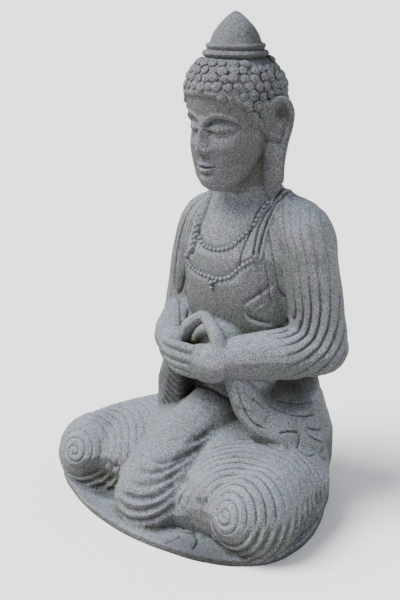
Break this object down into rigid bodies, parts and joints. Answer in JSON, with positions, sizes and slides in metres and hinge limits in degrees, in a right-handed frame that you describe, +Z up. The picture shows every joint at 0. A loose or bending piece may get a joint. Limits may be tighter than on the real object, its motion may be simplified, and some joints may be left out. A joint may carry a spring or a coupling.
{
  "type": "seated buddha statue",
  "caption": "Stone statue of a robed figure seated cross-legged on a low slab, hands joined before the belly",
  "frame": {"origin": "middle of the slab's underside, centred under the object's box", "axes": "+Z up, the figure faces -Y, its left hand is at +X"},
  "size_m": [0.634, 0.5156, 0.9999],
  "materials": {
    "stone": "matte"
  },
  "bodies": {
    "root": {"carved_seated_figure": "stone"}
  },
  "joints": []
}
